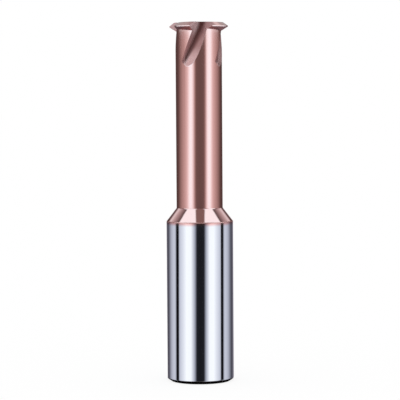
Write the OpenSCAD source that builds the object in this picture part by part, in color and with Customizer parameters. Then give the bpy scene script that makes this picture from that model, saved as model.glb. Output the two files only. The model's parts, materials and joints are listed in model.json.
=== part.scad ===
// Single-row thread mill, ground from one solid carbide blank.
// The origin is the centre of the shank's end and +Z runs along the axis to the tip.
// Angles about the axis are counted from -Y, the front, and grow the way the tool turns.

/* [Shank] */
// Diameter of the plain round shank
shank_d = 20; // [17:0.5:32]
// Length of the shank, from its end to the start of the cone
shank_len = 48.1; // [25:0.1:80]
// Height of the chamfer round the end of the shank
end_chamfer = 0.8; // [0.2:0.1:2]
// Width of that chamfer across the end face
chamfer_width = 1.2; // [0.2:0.1:2.5]

/* [Neck] */
// Overall length, from the shank's end to the end face at the tip
overall_len = 107.5; // [95:0.5:160]
// Diameter of the slim neck behind the teeth
neck_d = 13.9; // [12:0.1:15.5]
// Half angle of the cone between the shank and the neck
cone_angle = 37.5; // [20:0.5:60]
// Radius in the corner between the cone and the neck
neck_blend_r = 0.6; // [0.2:0.1:1.5]
// Width of the broken edge between the shank and the cone
edge_break = 0.15; // [0.05:0.05:0.6]

/* [Teeth] */
// Number of teeth, each with its own flute
teeth = 4; // [3:1:5]
// Cutting diameter over the crests of the teeth
cut_d = 18.2; // [17:0.1:20]
// Included angle of the thread form
thread_angle = 60; // [50:1:65]
// Width of the flat on the crest
crest_flat = 0.3; // [0.1:0.05:0.6]
// Height of the end face above the middle of the crest
end_height = 1.25; // [0.8:0.05:1.6]
// Relief angle of the ground land behind each cutting edge
relief_angle = 8; // [3:0.5:10]

/* [Flutes] */
// Included angle of the flute's section
flute_angle = 90; // [75:1:100]
// Lean of the section from the radial line, which makes the rake wall the steeper one
flute_lean = 16; // [0:1:20]
// Radius at the root of the flute
flute_root_r = 2; // [0.8:0.1:2.6]
// Distance from the tool's axis to the root of the flute
flute_core = 5.7; // [4.8:0.1:6]
// Slope of the flute to the tool's axis
flute_slope = 25.5; // [18:0.5:32]
// Depth below the end face at which the flute's root passes closest to the axis
flute_low = 3.2; // [1:0.1:4]
// Angle about the axis at which the front flute is ground
flute_turn = -1.5; // [-45:0.5:45]

/* [Hidden] */
$fn = 96;

shank_r = shank_d / 2;
neck_r = neck_d / 2;
cut_r = cut_d / 2;

// Heights of the corner between cone and neck, and of the middle of the crest
neck_z = shank_len + (shank_r - neck_r) / tan(cone_angle);
crest_z = overall_len - end_height;

// The blend in the neck's corner: an arc of a few steps, tangent to the cone and the neck
blend_steps = 6;
blend_reach = neck_blend_r * tan(cone_angle / 2);

// Each land is part of a disc whose centre lies ahead of the axis, square to the
// cutting edge, so that the radius falls away behind the edge at the relief angle
land_offset = cut_r * tan(relief_angle);
land_r = cut_r / cos(relief_angle);
pitch = 360 / teeth;

// Slopes of the flute's two walls from the tangent at its root. The walls pass a hair
// inside the root circle's tangents, so that they cross it at wall_kink
rake_slope = 90 - flute_angle / 2 + flute_lean;
back_slope = 90 - flute_angle / 2 - flute_lean;
wall_kink = 4;
wall_inset = flute_root_r * cos(wall_kink);
flute_centre = flute_core + flute_root_r;

// The grinding pass runs from beside the neck, where the flute has run out, to above the tip
flute_z = overall_len - flute_low;
flute_run = 1.2 * neck_r / sin(flute_slope);
flute_rise = cut_d;

// The cutting edge is where the rake wall, at the height of the crest, meets the cutting
// circle: along the wall, [across, outward] = wall_start + t * wall_step
crest_above = crest_z - flute_z;
wall_start = [
  (crest_above * sin(flute_slope) - wall_inset * sin(rake_slope)) / cos(flute_slope),
  flute_centre - wall_inset * cos(rake_slope)
];
wall_step = [-cos(rake_slope) / cos(flute_slope), sin(rake_slope)];
step_sq = wall_step * wall_step;
half_b = wall_start * wall_step;
wall_t = (sqrt(half_b ^ 2 - step_sq * (wall_start * wall_start - cut_r ^ 2)) - half_b) / step_sq;
edge_point = wall_start + wall_t * wall_step;
edge_turn = flute_turn + atan2(edge_point[0], edge_point[1]);

// Neighbouring lands meet along the flute's root, where the flute removes both, and
// overlap there by a small angle so that they join into one solid
root_turn = flute_turn + atan2(crest_above * tan(flute_slope), flute_core);
land_overlap = 2;
land_sweep = pitch + 2 * land_overlap;

// A point at a radius and an angle about the axis, counted from the front
function around(r, turn) = r * [sin(turn), -cos(turn)];

// Arc of the blend, from the cone up to the neck
function blend_arc() = [
  for (i = [0:blend_steps])
    let (a = 180 + cone_angle * (1 - i / blend_steps))
      [neck_r + neck_blend_r, neck_z + blend_reach] + neck_blend_r * [cos(a), sin(a)]
];

// The turned and ground body: shank, cone and neck, up to the middle of the crest
module body() {
  broken = edge_break * [-sin(cone_angle), cos(cone_angle)];
  rotate_extrude()
    polygon(concat(
      [[0, 0], [shank_r - chamfer_width, 0], [shank_r, end_chamfer]],
      [[shank_r, shank_len - edge_break], [shank_r, shank_len] + broken],
      blend_arc(),
      [[neck_r, crest_z], [0, crest_z]]
    ));
}

// Disc with the thread form round its rim, from inside the neck up to the end face
module form_disc() {
  slope = tan(thread_angle / 2);
  half_flat = crest_flat / 2;
  inner_r = neck_r - 2 * land_offset;
  rotate_extrude()
    polygon([
      [0, crest_z - half_flat - (land_r - inner_r) * slope],
      [inner_r, crest_z - half_flat - (land_r - inner_r) * slope],
      [land_r, crest_z - half_flat],
      [land_r, crest_z + half_flat],
      [land_r - (end_height - half_flat) / slope, overall_len],
      [0, overall_len]
    ]);
}

// One land with its tooth: the share of a relieved disc that lies between two flutes
module land() {
  sector_steps = 4;
  sector_angle = land_sweep / sector_steps;
  sector_r = cut_d / cos(sector_angle / 2);
  intersection() {
    rotate([0, 0, edge_turn])
      translate([land_offset, 0, 0])
        form_disc();
    rotate([0, 0, root_turn + land_overlap - land_sweep])
      linear_extrude(2 * overall_len)
        polygon(concat([[0, 0]], [for (i = [0:sector_steps]) around(sector_r, i * sector_angle)]));
  }
}

// Section of the flute: a rounded V with a steep rake wall and a gentle back wall
module flute_section() {
  centre = [0, -flute_centre];
  reach = 1.5 * cut_r;
  rake_foot = centre + wall_inset * [-sin(rake_slope), cos(rake_slope)];
  back_foot = centre + wall_inset * [sin(back_slope), cos(back_slope)];
  translate(centre)
    circle(r = flute_root_r);
  polygon([
    rake_foot,
    rake_foot + reach * [-cos(rake_slope), -sin(rake_slope)],
    back_foot + reach * [cos(back_slope), -sin(back_slope)],
    back_foot
  ]);
}

// One straight pass of the grinding wheel, set over at the flute's slope
module flute() {
  rotate([0, 0, flute_turn])
    translate([0, 0, flute_z])
      rotate([0, flute_slope, 0])
        translate([0, 0, -flute_run])
          linear_extrude(flute_run + flute_rise)
            flute_section();
}

// The whole tool: body and lands in one piece, with the flutes ground into them
module thread_mill() {
  color("rosybrown")
    difference() {
      union() {
        body();
        for (i = [0:teeth - 1])
          rotate([0, 0, i * pitch])
            land();
      }
      for (i = [0:teeth - 1])
        rotate([0, 0, i * pitch])
          flute();
    }
}

thread_mill();
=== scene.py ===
# %% [markdown]
# This lesson dresses a solid carbide thread mill that stands on its shank with its tip up.
# The whole tool is ground from one round bar, so there is one solid to finish and nothing to
# assemble. What makes it look real is its metal: a polished grey shank below, a rose-bronze
# hard coat above, and the studio that both of them mirror.

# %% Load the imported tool
import json
import math

import bpy
import numpy as np
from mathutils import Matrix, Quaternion, Vector


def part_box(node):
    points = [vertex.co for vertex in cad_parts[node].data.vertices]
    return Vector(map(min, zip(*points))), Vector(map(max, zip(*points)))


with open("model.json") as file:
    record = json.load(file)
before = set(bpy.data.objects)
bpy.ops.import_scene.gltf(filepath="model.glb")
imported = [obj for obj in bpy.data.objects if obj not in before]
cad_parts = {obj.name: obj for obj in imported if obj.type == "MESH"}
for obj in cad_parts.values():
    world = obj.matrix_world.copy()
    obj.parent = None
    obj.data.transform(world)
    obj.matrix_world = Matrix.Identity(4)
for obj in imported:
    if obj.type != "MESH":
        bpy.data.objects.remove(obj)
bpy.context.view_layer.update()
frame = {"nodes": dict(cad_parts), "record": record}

MM = 0.001
mill = frame["nodes"]["thread_mill"]
low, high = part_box("thread_mill")
overall = high.z - low.z
shank = next(m for m in frame["record"]["mounts"] if m["name"] == "shank")
shank_r = shank["dims"]["r_mm"] * MM
shank_top = shank["pos_m"][2] + shank["dims"]["length_mm"] * MM / 2
print(f"tool {overall / MM:.1f} mm tall")
print(f"shank {2 * shank_r / MM:.1f} mm wide, up to {shank_top / MM:.1f} mm")

# %% [markdown]
# The camera decides which way every mirror-like surface sends its light, so it comes before
# the materials. The ellipses at the shank's end and at the cone open more and more towards the
# bottom, and the head is seen from slightly below: the camera is close, a bit more than five
# tool lengths away, and stands about a fifth of the tool's height below the tip. A lens shift
# could do part of this, but it would throw the other views off, so the camera is simply tilted
# down. It is also turned by a trace, because the tool leans a little in the picture.

# %% Camera
PHOTO_PX = 400
CAMERA_AWAY = 0.555
CAMERA_HEIGHT = 0.0847
AIM_ASIDE = 0.1 * MM
AIM_HEIGHT = 0.05438
FRAME_HEIGHT = 0.1201
LEAN = math.radians(-0.38)

eye = Vector((0, -CAMERA_AWAY, CAMERA_HEIGHT))
aim = Vector((AIM_ASIDE, 0, AIM_HEIGHT))
camera_data = bpy.data.cameras.new("camera")
camera_data.sensor_fit = "HORIZONTAL"
camera_data.angle = 2 * math.atan(FRAME_HEIGHT / 2 / (aim - eye).length)
camera = bpy.data.objects.new("camera", camera_data)
camera.location = eye
camera.rotation_mode = "QUATERNION"
camera.rotation_quaternion = (aim - eye).to_track_quat("-Z", "Y") @ Quaternion((0, 0, 1), LEAN)
bpy.context.scene.collection.objects.link(camera)
bpy.context.scene.camera = camera
bpy.context.scene.view_settings.view_transform = "Standard"
print(f"lens {camera_data.lens:.0f} mm, {FRAME_HEIGHT / PHOTO_PX / MM:.3f} mm per pixel")

# %% [markdown]
# Shader formulas read best as formulas. Nodes could be dragged together one by one, but a
# small class that wraps a socket lets Python's own operators add the Math nodes, so that a
# mask is written as 1 - mask. Every other kind of node comes from one method.

# %% A socket that can be used in arithmetic


class Wire:
    """A shader socket in its node tree. Arithmetic on it adds Math nodes."""

    def __init__(self, tree, socket=None):
        self.tree = tree
        self.socket = socket

    def node(self, kind, settings=None, sockets=None, output=0):
        """Adds a node of a type: its settings first, then the values or links of its sockets."""
        made = self.tree.nodes.new(kind)
        for name, value in (settings or {}).items():
            if name == "stops":
                ramp = made.color_ramp.elements
                for place, colour in value[2:]:
                    ramp.new(place).color = (*colour, 1)
                for element, (place, colour) in zip(sorted(ramp, key=lambda e: e.position), value):
                    element.position = place
                    element.color = (*colour, 1)
            else:
                setattr(made, name, value)
        for key, value in (sockets or {}).items():
            if isinstance(value, Wire):
                self.tree.links.new(value.socket, made.inputs[key])
            else:
                made.inputs[key].default_value = value
        return Wire(self.tree, made.outputs[output])

    def math(self, operation, *values):
        return self.node("ShaderNodeMath", {"operation": operation}, dict(enumerate(values)))

    def __add__(self, other):
        return self.math("ADD", self, other)

    def __radd__(self, other):
        return self.math("ADD", other, self)

    def __sub__(self, other):
        return self.math("SUBTRACT", self, other)

    def __rsub__(self, other):
        return self.math("SUBTRACT", other, self)

    def __mul__(self, other):
        return self.math("MULTIPLY", self, other)

    def __rmul__(self, other):
        return self.math("MULTIPLY", other, self)

    def __truediv__(self, other):
        return self.math("DIVIDE", self, other)

    def __neg__(self):
        return self.math("MULTIPLY", self, -1)

    def __abs__(self):
        return self.math("ABSOLUTE", self)

    def xyz(self):
        """The three parts of a vector."""
        return [self.node("ShaderNodeSeparateXYZ", None, {0: self}, part) for part in range(3)]

    def rise(self, start, end):
        """0 up to start, 1 from end on, and a smooth step between them."""
        sockets = {"Value": self, "From Min": start, "From Max": end}
        return self.node("ShaderNodeMapRange", {"interpolation_type": "SMOOTHSTEP"}, sockets)

    def blend(self, first, second):
        """The first colour where this is 0 and the second where it is 1."""
        return self.node("ShaderNodeMix", {"data_type": "RGBA"}, {0: self, 6: first, 7: second}, 2)

    def noise(self, scale, detail=2.0):
        """Soft noise around 0.5, read at this vector."""
        sockets = {"Vector": self, "Scale": scale, "Detail": detail}
        return self.node("ShaderNodeTexNoise", None, sockets)


def new_material(name):
    """An empty node material, with its tree as a Wire and its output node."""
    material = bpy.data.materials.new(name)
    material.use_nodes = True
    material.node_tree.nodes.clear()
    output = material.node_tree.nodes.new("ShaderNodeOutputMaterial")
    return material, Wire(material.node_tree), output


print("wire operators ready")

# %% [markdown]
# The tool is one metal with two finishes. The shank is bare carbide, ground and polished until
# it mirrors. A hard coat a few thousandths of a millimetre thick covers the cone, the neck and
# the head; in the coating chamber the holder shadowed the shank, so the coat fades out within
# a millimetre or so below the cone. Two materials would need a cut in the mesh there, so one
# material mixes both finishes by the height on the tool. Its edge wanders a little, as the
# shadow of a holder does.

# %% Where the coat begins
COAT_FADE = 1.2 * MM
COAT_WANDER = 0.2 * MM
WANDER_SCALE = 400

material, wire, output = new_material("coated_carbide")
place = wire.node("ShaderNodeTexCoord", None, None, "Object")
x, y, z = place.xyz()
wander = (place.noise(WANDER_SCALE) - 0.5) * COAT_WANDER
coated = (z + wander).rise(shank_top - COAT_FADE, shank_top)
print("coat from", round((shank_top - COAT_FADE) / MM, 1), "mm up")

# %% [markdown]
# A grinding wheel cut the four flutes, one straight pass each, and left a duller skin there than
# on the turned neck. To paint that skin the shader has to know where a flute is. The faces could
# be picked one by one, but a formula is exact and follows the real cut: the angle round the axis
# is folded by the pitch, so that one flute stands for all, and the point is then read in the
# wheel's own directions: across the flute, outward from its root, and along it. The numbers are
# those of the solid. The climb is 0 where the flute runs out on the neck and 1 at the tip.

# %% Flute coordinates
FLUTES = 4
FLUTE_TURN = math.radians(-1.5)
FLUTE_SLOPE = math.radians(25.5)
FLUTE_LOW = 3.2 * MM
FLUTE_CORE = 5.7 * MM
FLUTE_ROOT_R = 2.0 * MM
RAKE_SLOPE = math.radians(61)
BACK_SLOPE = math.radians(29)
RUN_OUT = 94 * MM
RUN_OUT_SOFT = 0.015
SKIN = 0.03 * MM


def turn_from_front(x, y):
    """Angle round the axis from the front, in radians, to the right positive."""
    return x.math("ARCTAN2", x, -y)


pitch = 2 * math.pi / FLUTES
turn = turn_from_front(x, y) - FLUTE_TURN
folded = turn - pitch * x.math("ROUND", turn / pitch)
radius = x.math("SQRT", x * x + y * y)
sideways = radius * x.math("SINE", folded)
above = z - (overall - FLUTE_LOW)
across = sideways * math.cos(FLUTE_SLOPE) - above * math.sin(FLUTE_SLOPE)
along = sideways * math.sin(FLUTE_SLOPE) + above * math.cos(FLUTE_SLOPE)
outward = radius * x.math("COSINE", folded) - (FLUTE_CORE + FLUTE_ROOT_R)
climb = (z - RUN_OUT) / (overall - RUN_OUT)

rake_wall = across * math.sin(RAKE_SLOPE) + outward * math.cos(RAKE_SLOPE) + FLUTE_ROOT_R
back_wall = outward * math.cos(BACK_SLOPE) - across * math.sin(BACK_SLOPE) + FLUTE_ROOT_R
in_flute = x.math("MINIMUM", rake_wall, back_wall)
ground = in_flute.rise(-2 * SKIN, -SKIN) * climb.rise(0, RUN_OUT_SOFT)
print(FLUTES, "flutes, one every", round(math.degrees(pitch)), "degrees")

# %% [markdown]
# Inside a flute the colour carries painted shade and painted light. The root mirrors the dark
# gap in front and lies in shade, so a painted shade darkens it: a dark lane that widens towards
# the tip and bows a little. The run-out, which lies open, gets a painted light and is the
# lightest. The steep rake wall gets a painted shade at its foot and a painted highlight at the
# top. Soft masks do all of this; a painted picture would need an unwrapped mesh and would not
# follow a changed size.

# %% Masks in the flute, for painted shade and painted light
LANE_BOW = 0.3 * MM
LANE_BOW_CLIMB = 0.55
LANE_BOW_REACH = 0.32
LANE_NARROW = 0.4 * MM
LANE_WIDE = 1.75 * MM
LANE_SOFT = (0.1, 1.0)
LANE_LOW_SHARE = 0.75
ROOT_OUTWARD = (-0.7 * MM, -0.1 * MM)
RAKE_ACROSS = (-0.7 * MM, -0.1 * MM)
RAKE_FOOT_CLIMB = (0.45, 0.8)
RAKE_FACE_CLIMB = (0.65, 0.95)

from_bow = (climb - LANE_BOW_CLIMB) / LANE_BOW_REACH
lane_middle = LANE_BOW * (1 - from_bow * from_bow)
lane_half = LANE_NARROW + (LANE_WIDE - LANE_NARROW) * climb * (2 - climb)
lane_depth = LANE_LOW_SHARE + (1 - LANE_LOW_SHARE) * climb
deep = 1 - outward.rise(*ROOT_OUTWARD)
# Painted shade: the lane darkens the root, where it mirrors the dark front and lies in shade.
lane_shade = deep * (1 - (abs(across - lane_middle) / lane_half).rise(*LANE_SOFT)) * lane_depth
rake_side = 1 - across.rise(*RAKE_ACROSS)
# Painted shade at the foot of the rake wall, and a painted highlight at its top.
rake_foot_shade = rake_side * (1 - climb.rise(*RAKE_FOOT_CLIMB))
rake_face_highlight = rake_side * climb.rise(*RAKE_FACE_CLIMB)
print("dark lane", 2 * LANE_NARROW / MM, "to", 2 * LANE_WIDE / MM, "mm wide")

# %% [markdown]
# Two more places are duller than the polished metal. The lower flanks of the teeth were left by
# the form wheel and face down, and the broken edge between shank and cone was brushed by hand.
# Because the flanks face down, their colour also gets a painted shade.
# Their faces could be picked in Edit Mode, but both are rings, so a range of heights finds them,
# with a radius beyond the neck for the flanks.

# %% Lower flanks and broken edge
NECK_R = 6.95 * MM
FLANK_LOW = 104.5 * MM
FLANK_HIGH = 106.06 * MM
EDGE_HIGH = shank_top + 0.27 * MM
RING_SOFT = 0.03 * MM

flank = radius.rise(NECK_R + RING_SOFT, NECK_R + 3 * RING_SOFT) * (1 - ground)
flank = flank * z.rise(FLANK_LOW - RING_SOFT, FLANK_LOW)
flank = flank * (1 - z.rise(FLANK_HIGH - RING_SOFT, FLANK_HIGH))
edge = z.rise(shank_top - RING_SOFT, shank_top)
edge = edge * (1 - z.rise(EDGE_HIGH, EDGE_HIGH + RING_SOFT))
print("dull flanks up to", round(FLANK_HIGH / MM, 2), "mm, edge to", round(EDGE_HIGH / MM, 2), "mm")

# %% [markdown]
# A wheel leaves fine lines along its path: in the flutes they run along the slope, and on the
# turned surfaces they are faint rings. Real grooves this fine would need millions of faces, so
# noise that is stretched along the wheel's path bends the surface normal by a hair instead. The
# same bump takes the sharpness off the edge above the shank's chamfer: there the height falls as
# a small round would, with the square of the way below its start.

# %% Grinding lines
LINE_DEPTH = 0.001 * MM
LINE_DETAIL = 3
FLUTE_LINES = 5000
FLUTE_STRETCH = 0.04
RING_LINES = 9000
RING_STRETCH = 0.2 * MM
RING_SHARE = 0.03
FOOT_TOP = 1.1 * MM
FOOT_FALL = 0.32 * MM
FOOT_R = 0.25 * MM

flute_parts = {0: across, 1: outward, 2: along * FLUTE_STRETCH}
ring_parts = {0: radius, 1: turn * RING_STRETCH, 2: z}
flute_lines = wire.node("ShaderNodeCombineXYZ", None, flute_parts).noise(FLUTE_LINES, LINE_DETAIL)
ring_lines = wire.node("ShaderNodeCombineXYZ", None, ring_parts).noise(RING_LINES, LINE_DETAIL)
lines = ground * flute_lines + (1 - ground) * (ring_lines * RING_SHARE)
fall = z.math("MINIMUM", z.math("MAXIMUM", FOOT_TOP - z, 0), FOOT_FALL)
height = lines * LINE_DEPTH - fall * fall * (0.5 / FOOT_R)
bump = wire.node("ShaderNodeBump", None, {"Strength": 1.0, "Distance": 1.0, "Height": height})
print("lines about", round(1 / FLUTE_LINES / MM, 2), "mm apart in the flutes")

# %% [markdown]
# Now the masks meet in one metal. Carbide is a cool grey; the coat, a nitride, reflects red more
# than green and blue, which gives the rose bronze. The coat is as smooth as the ground metal
# under it, so the neck mirrors like the shank, and only the flutes, the lower flanks and the
# broken edge are rougher. The tint towards grazing angles is a bit warm, because the coat keeps
# its colour there. Several materials would show seams, so one Principled shader takes it all.

# %% Carbide and its coat
CARBIDE = (0.66, 0.67, 0.70, 1)
COAT = (0.62, 0.33, 0.31, 1)
# Painted shade on the lower flanks, which face down.
FLANK_SHADE = (0.42, 0.2, 0.19, 1)
# Painted light: the open run-out is lighter, as it mirrors brighter light.
RUN_OUT_PAINTED_LIGHT = (0.7, 0.44, 0.44, 1)
FLUTE_COAT = (0.45, 0.245, 0.24, 1)
FLUTE_COAT_CLIMB = (0.18, 0.5)
# Painted shade for the dark lane in the root.
LANE_SHADE_COLOUR = (0.16, 0.058, 0.054, 1)
# Painted shade and painted highlight colours for the rake wall.
RAKE_FOOT_SHADE = (0.4, 0.18, 0.172, 1)
RAKE_FACE_HIGHLIGHT = (0.78, 0.54, 0.53, 1)
GRAZING_TINT = (0.8, 0.7, 0.7, 1)
ROUGH_SHANK = 0.05
ROUGH_COAT = 0.03
ROUGH_EDGE = 0.35
ROUGH_FLANK = 0.3
ROUGH_FLUTE = 0.16
ROUGH_TIP = 0.2
ROUGH_RAKE = 0.3

# The flute's colour grows lighter towards the run-out as painted light.
flute_colour = climb.rise(*FLUTE_COAT_CLIMB).blend(RUN_OUT_PAINTED_LIGHT, FLUTE_COAT)
# The rake wall's foot gets painted shade and its top a painted highlight.
flute_colour = rake_foot_shade.blend(flute_colour, RAKE_FOOT_SHADE)
flute_colour = rake_face_highlight.blend(flute_colour, RAKE_FACE_HIGHLIGHT)
# The root's dark lane is painted shade.
flute_colour = lane_shade.blend(flute_colour, LANE_SHADE_COLOUR)
# The lower flanks get a painted shade; their roughness is their own.
coat_colour = ground.blend(flank.blend(COAT, FLANK_SHADE), flute_colour)
rough = ROUGH_SHANK + ROUGH_COAT * coated + ROUGH_EDGE * edge + ROUGH_FLANK * flank
rough = rough + ground * (ROUGH_FLUTE + ROUGH_TIP * climb + ROUGH_RAKE * rake_side)
shader = wire.node(
    "ShaderNodeBsdfPrincipled",
    None,
    {
        "Base Color": coated.blend(CARBIDE, coat_colour),
        "Metallic": 1.0,
        "Roughness": rough,
        "Specular Tint": GRAZING_TINT,
        "Normal": bump,
    },
)
wire.tree.links.new(shader.socket, output.inputs["Surface"])
mill.data.materials.clear()
mill.data.materials.append(material)
print("one metal of", len(wire.tree.nodes), "nodes on", mill.name)

# %% [markdown]
# Polished metal has no look of its own: it shows what stands round it. A dark gap in front,
# tall white panels on both sides and black flags at their edges give the bands on the shank
# and the neck. Lamps would only make spots, so a light tent is made: a wall round the tool
# whose glow depends on the direction. A cylinder turns each angle of its surface into twice
# that angle of the room, so the bands are set out in degrees. The tent is seen in reflections
# only. Its lower wall is what the shank mirrors, its upper wall is for the neck.

# %% Wall of the light tent
TENT_R = 0.18
TENT_LOW = -0.118
TENT_HIGH = 0.139


def tent_wall(around=96, up=2):
    """A round wall: point = (R sin turn, -R cos turn, height), on a grid of turn and height."""
    turns = np.linspace(0, 2 * np.pi, around, endpoint=False)
    heights = np.linspace(TENT_LOW, TENT_HIGH, up)
    turn, height = np.meshgrid(turns, heights)
    points = np.stack([TENT_R * np.sin(turn), -TENT_R * np.cos(turn), height], axis=-1)
    number = np.arange(around * up).reshape(up, around)
    beside = np.roll(number, -1, axis=1)
    quads = np.stack([number[:-1], number[1:], beside[1:], beside[:-1]], axis=-1)
    return points.reshape(-1, 3), quads.reshape(-1, 4)


def add_mesh(name, points, faces, material):
    """A mesh object from arrays of points and faces, linked to the scene."""
    mesh = bpy.data.meshes.new(name)
    mesh.from_pydata(points.tolist(), [], faces.tolist())
    mesh.materials.append(material)
    made = bpy.data.objects.new(name, mesh)
    bpy.context.scene.collection.objects.link(made)
    return made


def reflections_only(thing):
    """Hides a thing from the camera and from soft light, so that only mirrors show it."""
    thing.visible_camera = False
    thing.visible_diffuse = False
    thing.visible_transmission = False
    thing.visible_shadow = False


tent_glow, wire, output = new_material("tent_glow")
tent = add_mesh("tent", *tent_wall(), tent_glow)
reflections_only(tent)
print("tent of", len(tent.data.polygons), "panels")

# %% [markdown]
# The bands are lists of turns from the front, in degrees, with a light level at each. They hold
# for a mirror far from the tent; the tent is near, so each turn is first moved to the place on
# the wall that the mirror cylinder really sees there. Between the stops a colour ramp blends
# evenly, as soft panels do. The light on the bare carbide is a trace blue, and the light for the
# coat is warm where it is dim, as a coated neighbour would make it.

# %% Bands for shank, neck and teeth
SHANK_BANDS = [
    (0, 0.016), (11.4, 0.02), (13.4, 0.06), (20.4, 0.61), (32.4, 1.42), (48, 1.46), (60, 1.13),
    (72, 0.87), (76.3, 0.70), (78.8, 0.006), (87.8, 0.006), (94.3, 0.80), (101, 0.86), (115, 0.66),
    (130, 0.26), (140, 0.11), (147, 0.1), (151, 0.26), (168, 0.22), (174, 1.0),
]
NECK_BANDS = [
    (0, 0.19), (18, 0.21), (22, 0.33), (26, 0.57), (37, 1.95), (43, 2.4), (50, 2.45), (55.5, 2.15),
    (64, 1.42), (71, 1.08), (84, 0.79), (100, 0.52), (120, 0.23), (130, 0.14), (164, 0.1), (170, 1.0),
]
CREST_BANDS = [(0, 0.2), (16, 0.2), (30, 2.7), (105, 2.7), (120, 0.15), (150, 0.15), (180, 1.0)]
RIM_BANDS = [
    (0, 0.3), (30, 0.3), (40, 0.8), (97, 0.8), (105, 0.15), (138, 0.15), (143, 1.2), (160, 1.2),
    (180, 1.0),
]
COOL_TINT = ((0.95, 0.02), (1.28, -0.18))
COAT_TINT = ((1.19, -0.22), (0.95, 0.055))


def tinted(level, tint):
    """Light of a level. Its red and its blue are each the level times (base + slope * level)."""
    (red_base, red_slope), (blue_base, blue_slope) = tint
    return (level * (red_base + red_slope * level), level, level * (blue_base + blue_slope * level))


def far_stops(bands, tint):
    """Ramp stops for bands seen far away: a place of 0 is the front and 1 is the back."""
    return [(turn / 180, tinted(level, tint)) for turn, level in bands]


def tent_stops(bands, tint, mirror_r):
    """Ramp stops in a mirror cylinder: turn on the tent = turn - asin(r / R * sin(turn / 2))."""
    turns, levels = np.array(bands).T
    nearer = np.degrees(np.arcsin(mirror_r / TENT_R * np.sin(np.radians(turns / 2))))
    return far_stops(zip((turns - nearer).tolist(), levels.tolist()), tint)


def banded(turn, stops):
    """Colour of the bands at a turn from the front, alike on both sides."""
    return turn.node("ShaderNodeValToRGB", {"stops": stops}, {0: abs(turn) / math.pi})


shank_stops = tent_stops(SHANK_BANDS, COOL_TINT, shank_r)
neck_stops = tent_stops(NECK_BANDS, COAT_TINT, NECK_R)
print(len(shank_stops), "stops for the shank,", len(neck_stops), "for the neck")

# %% [markdown]
# Each part of the tool mirrors its own height of the wall, because the camera looks slightly
# down: the shank sees the lowest tier, the neck the next one, the crests of the teeth a narrow
# bright one, and the rim above shows in the flutes and at the ends of the teeth. Four walls could
# stand there, but one wall whose colour changes with the height is simpler. The panels did not
# stand quite evenly to the left and right of the camera, so the two lower tiers are turned and
# skewed by a trace. They stood upright while the tool leaned, so their edges cross it at a slight
# slant: the turn grows with the height.

# %% Tiers of the tent
TIER_NECK = 38.7 * MM
TIER_CREST = 112.6 * MM
TIER_RIM = 117 * MM
TIER_SOFT = 3 * MM
CREST_SOFT = 0.375 * MM
SHANK_TURN = math.radians(1)
SHANK_SKEW = 0.038
SHANK_LEAN = 1.0
SHANK_PIVOT = 6.3 * MM
SHANK_FOOT = -25 * MM
NECK_TURN = math.radians(5.9)
NECK_SKEW = 0.04
NECK_LEAN = 2.0
NECK_PIVOT = 71.2 * MM

x, y, z = wire.node("ShaderNodeTexCoord", None, None, "Object").xyz()
turn = turn_from_front(x, y)
shank_z = z.math("MAXIMUM", z, SHANK_FOOT)
shank_turn = turn + abs(turn) * SHANK_SKEW - SHANK_TURN - SHANK_LEAN * (shank_z - SHANK_PIVOT)
neck_turn = turn + abs(turn) * NECK_SKEW - NECK_TURN - NECK_LEAN * (z - NECK_PIVOT)
for_shank = banded(shank_turn, shank_stops)
for_neck = banded(neck_turn, neck_stops)
for_crest = banded(turn, far_stops(CREST_BANDS, COAT_TINT))
for_rim = banded(turn, far_stops(RIM_BANDS, COAT_TINT))
neck_tier = z.rise(TIER_NECK - TIER_SOFT, TIER_NECK + TIER_SOFT)
crest_tier = z.rise(TIER_CREST - CREST_SOFT, TIER_CREST + CREST_SOFT)
rim_tier = z.rise(TIER_RIM - CREST_SOFT, TIER_RIM + CREST_SOFT)
colour = rim_tier.blend(for_crest, for_rim)
colour = crest_tier.blend(for_neck, colour)
colour = neck_tier.blend(for_shank, colour)
glow = wire.node("ShaderNodeEmission", None, {"Color": colour})
wire.tree.links.new(glow.socket, output.inputs["Surface"])
print("tiers from", round(TIER_NECK / MM, 1), round(TIER_CREST / MM, 1), round(TIER_RIM / MM, 1), "mm")

# %% [markdown]
# Above the tent the upper flanks of the teeth and the flutes look up into the room, and below it
# the lower flanks look down. A ring of real panels could hang there, but they are far off, so a
# pattern on the world does: two soft panels overhead with a dark gap between them, dimmer
# towards the horizon, and paler light from the back, which has less red, with one more panel
# behind on the right. The floor is pale below the tool and dim farther out.

# %% Panels of the room
OVERHEAD_BANDS = [
    (0, 0.30), (30, 0.30), (40, 2.4), (97, 2.4), (100, 0.08), (106, 0.08), (116, 0.55), (135, 1.4),
    (146, 1.4),
]
OVERHEAD_BACK_BANDS = [(160, 0.66), (180, 0.55)]
SIDE_BANDS = [
    (0, 0.30), (30, 0.30), (40, 0.8), (97, 0.8), (100, 0.08), (106, 0.08), (116, 0.45), (135, 1.3),
    (146, 1.4),
]
SIDE_BACK_BANDS = [(160, 0.92), (180, 0.72)]
FLOOR_BANDS = [(0, 0.3), (90, 0.5), (144, 0.28), (180, 0.18)]
BACK_TINT = ((0.9, 0), (1.06, 0))
PALE_TINT = ((0.79, 0), (1.02, 0))

high_stops = far_stops(OVERHEAD_BANDS, COAT_TINT) + far_stops(OVERHEAD_BACK_BANDS, BACK_TINT)
side_stops = far_stops(SIDE_BANDS, COAT_TINT) + far_stops(SIDE_BACK_BANDS, PALE_TINT)
floor_stops = far_stops(FLOOR_BANDS, COAT_TINT)
print(len(high_stops), "stops overhead,", len(side_stops), "at the sides")

# %% [markdown]
# The world reads the direction of each ray: the turn picks the band, and the height of the
# direction, from -1 straight down to 1 straight up, picks the panel. Only mirrors see this
# pattern. Soft light is plain white at strength 1, and the camera sees plain white too.

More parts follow.
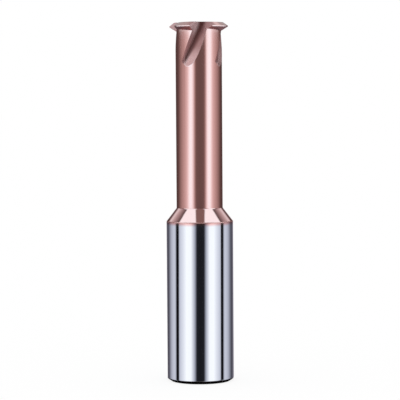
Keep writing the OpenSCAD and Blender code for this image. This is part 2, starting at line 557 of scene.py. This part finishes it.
# %% World
WHITE = (1, 1, 1, 1)
SKY_HIGH = (0.68, 0.76)
BEHIND_TURN = math.radians(152)
BEHIND_SOFT = 0.05
BEHIND_FROM = (0.58, 0.63)
BEHIND_TO = (0.69, 0.74)
BEHIND_LEVEL = 1.42
FLOOR_NEAR = 0.9
FLOOR_FAR = (-0.86, -0.82)
HORIZON = (-0.05, 0.05)

world = bpy.data.worlds.new("studio")
bpy.context.scene.world = world
world.use_nodes = True
world.node_tree.nodes.clear()
output = world.node_tree.nodes.new("ShaderNodeOutputWorld")
wire = Wire(world.node_tree)
x, y, z = wire.node("ShaderNodeTexCoord", None, None, "Generated").xyz()
turn = turn_from_front(x, y)
overhead = z.rise(*SKY_HIGH).blend(banded(turn, side_stops), banded(turn, high_stops))
behind = turn.rise(BEHIND_TURN - BEHIND_SOFT, BEHIND_TURN + BEHIND_SOFT)
behind = behind * z.rise(*BEHIND_FROM) * (1 - z.rise(*BEHIND_TO))
overhead = behind.blend(overhead, (*tinted(BEHIND_LEVEL, PALE_TINT), 1))
near_floor = (FLOOR_NEAR, FLOOR_NEAR, FLOOR_NEAR, 1)
below = z.rise(*FLOOR_FAR).blend(near_floor, banded(turn, floor_stops))
pattern = z.rise(*HORIZON).blend(below, overhead)
glossy = wire.node("ShaderNodeLightPath", None, None, "Is Glossy Ray")
seen = glossy.blend(WHITE, pattern)
sky = wire.node("ShaderNodeBackground", None, {"Color": seen, "Strength": 1.0})
wire.tree.links.new(sky.socket, output.inputs["Surface"])
print("world of", len(world.node_tree.nodes), "nodes")

# %% [markdown]
# The tool stands on a plain white floor that runs out of the picture on all sides. A curved
# backdrop would do the same, but a flat sheet this wide has its edge out of sight. It is white
# by its own colour and by a glow that only the camera sees, so a trace of the shadow stays. It
# is left out of reflections, where the tent stands in for it.

# %% Floor
FLOOR_HALF = 8.0
GLOW_SHARE = 0.85

floor_white, wire, output = new_material("floor_white")
paper = wire.node("ShaderNodeBsdfDiffuse", None, {"Color": WHITE})
shine = wire.node("ShaderNodeEmission", None, {"Color": WHITE, "Strength": 1.0})
camera_ray = wire.node("ShaderNodeLightPath", None, None, "Is Camera Ray")
mixed = wire.node("ShaderNodeMixShader", None, {0: camera_ray * GLOW_SHARE, 1: paper, 2: shine})
wire.tree.links.new(mixed.socket, output.inputs["Surface"])
corners = FLOOR_HALF * np.array([[-1, -1, 0], [1, -1, 0], [1, 1, 0], [-1, 1, 0]])
floor = add_mesh("floor", corners, np.array([[0, 1, 2, 3]]), floor_white)
floor.visible_glossy = False
print("floor", 2 * FLOOR_HALF, "m wide")

# %% [markdown]
# The cone looks almost straight up, and what hangs close above it shows in it: a pair of white
# cards with a narrow gap between them, which end a little in front of the neck. Their straight
# edges give the upright lines beside the middle and the dark lines that run beside the outline.
# The world is too far away for that, as its lines would all meet at the point of the cone. So a
# sheet hangs just above the cone. Behind the cards it brightens with the slant from their edge.
# It shines downwards only, so the neck above it never shows it.

# %% Cards over the cone
CARDS_HEIGHT = 58 * MM
CARDS_FRONT = -14.5 * MM
CARDS_BACK = 60 * MM
CARDS_SIDE = 24 * MM
CARDS_EDGE = -5.6 * MM
CARDS_LEVEL = 2.4
GAP_MIDDLE = 0.3 * MM
GAP_HALF = 3.05 * MM
GAP_SOFT = 0.6 * MM
GAP_LEVEL = 0.3
SLANT_LOW = -0.25
SLANT_SPAN = 2.0
SLANT_CARDS = -0.05
SLANT_BANDS = [
    (0.03, 0.2), (0.1, 0.24), (0.25, 0.5), (0.47, 0.9), (0.62, 1.25), (0.74, 1.6), (0.8, 1.6),
    (0.95, 1.3), (1.1, 0.45), (1.25, 0.2),
]
CONE_TINT = ((1.05, -0.2), (1.06, 0))


def slant_place(slant):
    """Place of a slant on the ramp: (slant - lowest slant) / span."""
    return (slant - SLANT_LOW) / SLANT_SPAN


cone_cards, wire, output = new_material("cone_cards")
x, y, z = wire.node("ShaderNodeTexCoord", None, None, "Object").xyz()
stops = [(slant_place(SLANT_CARDS), tinted(CARDS_LEVEL, COAT_TINT))]
stops += [(slant_place(slant), tinted(level, CONE_TINT)) for slant, level in SLANT_BANDS]
slant = (y - CARDS_EDGE) / abs(x)
bands = wire.node("ShaderNodeValToRGB", {"stops": stops}, {0: slant_place(slant)})
gap = 1 - abs(x - GAP_MIDDLE).rise(GAP_HALF - GAP_SOFT, GAP_HALF + GAP_SOFT)
colour = gap.blend(bands, (*tinted(GAP_LEVEL, COAT_TINT), 1))
glow = wire.node("ShaderNodeEmission", None, {"Color": colour})
clear = wire.node("ShaderNodeBsdfTransparent", None, {"Color": WHITE})
from_above = wire.node("ShaderNodeNewGeometry", None, None, "Backfacing")
mixed = wire.node("ShaderNodeMixShader", None, {0: from_above, 1: glow, 2: clear})
wire.tree.links.new(mixed.socket, output.inputs["Surface"])
corners = np.array([
    [-CARDS_SIDE, CARDS_FRONT, CARDS_HEIGHT],
    [-CARDS_SIDE, CARDS_BACK, CARDS_HEIGHT],
    [CARDS_SIDE, CARDS_BACK, CARDS_HEIGHT],
    [CARDS_SIDE, CARDS_FRONT, CARDS_HEIGHT],
])
cards = add_mesh("cone_cards", corners, np.array([[0, 1, 2, 3]]), cone_cards)
reflections_only(cards)
print("cards", round((CARDS_HEIGHT - shank_top) / MM, 1), "mm above the shank")

# %% [markdown]
# Where the chamfer meets the floor, its polished ring mirrors nothing but the dark gap under
# it. The floor is white and left out of reflections, so it can't give that. A black disc just
# under the tool, a little wider than the shank and seen in reflections only, stands in for it.

# %% Card under the chamfer
CARD_R = 11 * MM
CARD_DROP = 0.2 * MM
CARD_CORNERS = 48
CARD_BLACK = (0.002, 0.002, 0.002, 1)

card_black, wire, output = new_material("card_black")
black = wire.node("ShaderNodeEmission", None, {"Color": CARD_BLACK})
wire.tree.links.new(black.socket, output.inputs["Surface"])
turns = np.linspace(0, 2 * np.pi, CARD_CORNERS, endpoint=False)
depth = np.full(CARD_CORNERS, -CARD_DROP)
ring = np.stack([CARD_R * np.sin(turns), -CARD_R * np.cos(turns), depth], axis=-1)
card = add_mesh("card", ring, np.arange(CARD_CORNERS)[None, :], card_black)
reflections_only(card)
print("card", round(2 * CARD_R / MM, 1), "mm wide")
